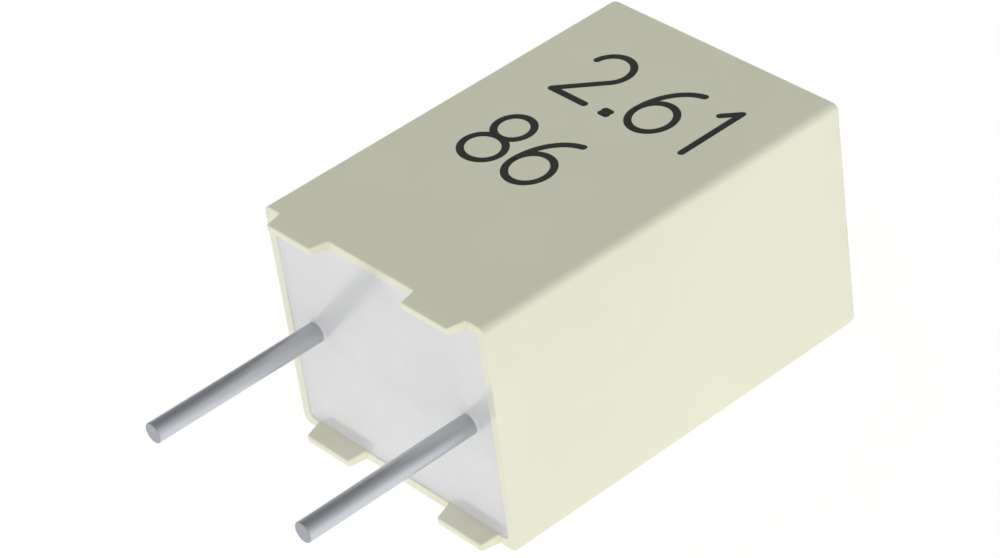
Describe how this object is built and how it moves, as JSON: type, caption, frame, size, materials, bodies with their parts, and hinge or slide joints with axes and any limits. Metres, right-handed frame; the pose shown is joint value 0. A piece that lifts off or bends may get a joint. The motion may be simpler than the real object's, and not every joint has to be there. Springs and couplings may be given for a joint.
{
  "type": "box film capacitor",
  "caption": "Small moulded box capacitor with two straight wire leads, four standoff feet at its potted open end and a film roll sealed inside.",
  "frame": {"origin": "on the seating plane at the tips of the feet, midway between the two leads and midway across the case", "axes": "+Y from the board towards the closed end of the case, +X along the line of the leads, +Z out of the marked large wall; the part lies on the opposite large wall"},
  "size_m": [0.0072, 0.0151, 0.006],
  "materials": {
    "case_plastic": "cream moulded polyester, fine satin, with a dark printed marking",
    "potting_resin": "pale grey cast epoxy, flat and smooth",
    "metallised_film": "polyester film with an evaporated metal layer, tightly wound",
    "wrap_film": "clear polyester film, heat sealed",
    "sprayed_metal": "grey sprayed zinc, rough and slightly porous",
    "tinned_wire": "tinned copper-clad steel wire, bright drawn"
  },
  "bodies": {
    "root": {"case": "case_plastic", "potting_resin": "potting_resin", "film_roll": "metallised_film", "outer_wrap": "wrap_film", "end_spray_left": "sprayed_metal", "end_spray_right": "sprayed_metal", "lead_left": "tinned_wire", "lead_right": "tinned_wire"}
  },
  "joints": []
}
